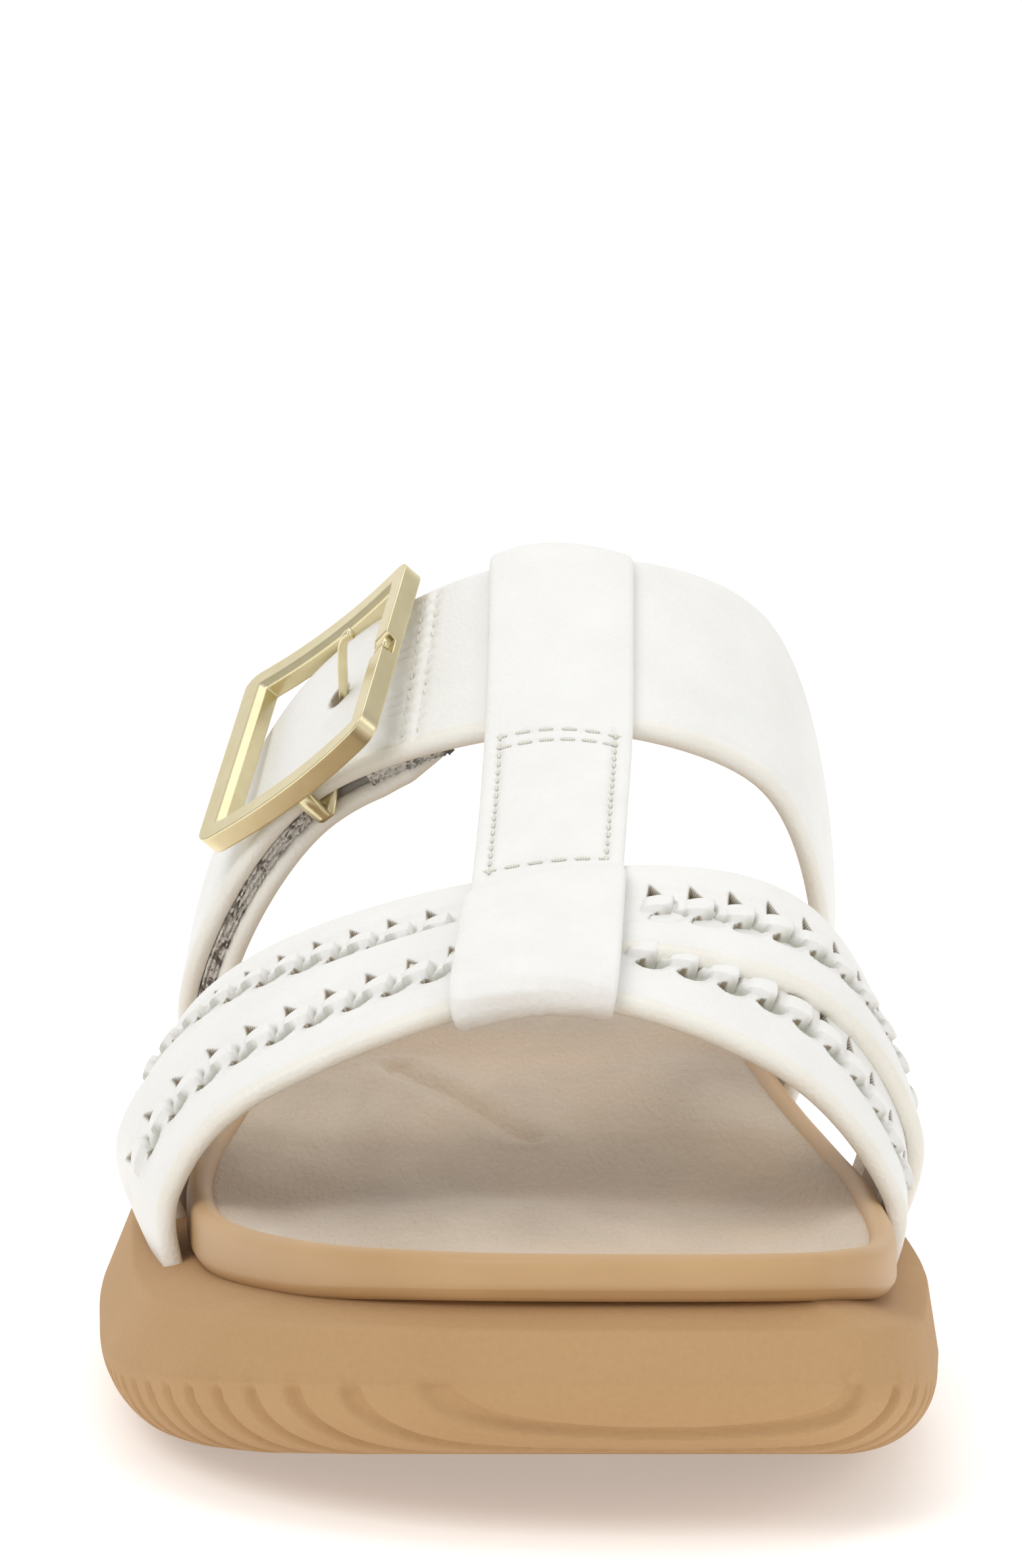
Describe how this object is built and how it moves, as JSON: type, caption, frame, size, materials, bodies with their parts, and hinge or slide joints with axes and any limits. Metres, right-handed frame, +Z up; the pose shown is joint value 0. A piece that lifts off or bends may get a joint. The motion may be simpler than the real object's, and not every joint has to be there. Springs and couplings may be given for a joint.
{
  "type": "slide sandal",
  "caption": "Right slide sandal with a tan platform sole, padded footbed, two woven white straps, a T-strap and a buckled instep strap.",
  "frame": {"origin": "on the underside plane of the sole, midway between toe and heel, near the middle of its width", "axes": "+Z up, -Y towards the toe, +Y towards the heel, +X towards the medial (big toe) side"},
  "size_m": [0.1053, 0.262, 0.1031],
  "materials": {
    "outsole": "moulded foam, fine matte grain",
    "footbed": "smooth wrapped sheet, satin",
    "footbed_cover": "brushed microsuede, matte",
    "upper": "soft smooth leather, low sheen",
    "closure_strap": "soft smooth leather, low sheen",
    "tape": "short looped pile",
    "buckle": "satin light gold plate"
  },
  "bodies": {
    "root": {"outsole": "outsole", "footbed": "footbed", "footbed_cover": "footbed_cover", "upper": "upper", "closure_strap": "closure_strap", "hook_and_loop_low": "tape", "hook_and_loop_high": "tape", "buckle_frame": "buckle", "buckle_prong": "buckle"}
  },
  "joints": []
}
